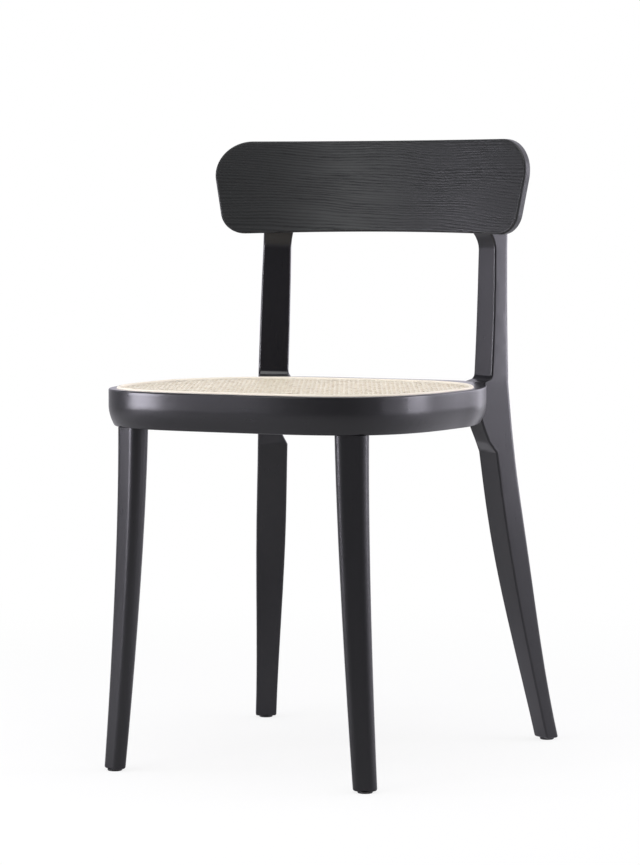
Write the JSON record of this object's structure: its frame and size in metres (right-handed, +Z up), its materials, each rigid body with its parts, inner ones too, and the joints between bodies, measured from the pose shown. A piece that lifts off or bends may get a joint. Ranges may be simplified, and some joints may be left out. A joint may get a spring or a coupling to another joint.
{
  "type": "dining chair",
  "caption": "Dining chair with a woven cane seat in a rounded rail, tapered splayed legs and a curved backrest panel on open posts.",
  "frame": {"origin": "on the floor, under the middle of the chair's bounding box", "axes": "+Z up, +X to the right of someone who faces the chair, the front edge towards -Y"},
  "size_m": [0.4368, 0.5, 0.763],
  "materials": {
    "satin_black_wood": "smooth satin black lacquer on solid wood",
    "black_stained_ash": "black stained ash, open pores, grain level",
    "woven_cane": "natural split cane, open octagonal weave",
    "reed": "natural reed, matt",
    "plain_beech": "bare planed beech",
    "zinc_plated_steel": "zinc plated",
    "brass": "turned brass",
    "black_plastic": "moulded black plastic"
  },
  "bodies": {
    "root": {"seat_rail_front": "satin_black_wood", "seat_rail_left": "satin_black_wood", "seat_rail_right": "satin_black_wood", "seat_rail_rear": "satin_black_wood", "front_leg_left": "satin_black_wood", "front_leg_right": "satin_black_wood", "rear_leg_left": "satin_black_wood", "rear_leg_right": "satin_black_wood", "backrest_panel": "black_stained_ash", "backrest_plugs": "black_stained_ash", "cane_webbing": "woven_cane", "cane_spline": "reed", "rail_dowels": "plain_beech", "corner_block_front_left": "plain_beech", "corner_block_front_right": "plain_beech", "corner_block_rear_left": "plain_beech", "corner_block_rear_right": "plain_beech", "corner_block_screws": "zinc_plated_steel", "rear_leg_bolts": "zinc_plated_steel", "rear_leg_washers": "zinc_plated_steel", "backrest_screws": "zinc_plated_steel", "glide_nails": "zinc_plated_steel", "rear_leg_inserts": "brass", "foot_glide_front_left": "black_plastic", "foot_glide_front_right": "black_plastic", "foot_glide_rear_left": "black_plastic", "foot_glide_rear_right": "black_plastic"}
  },
  "joints": []
}
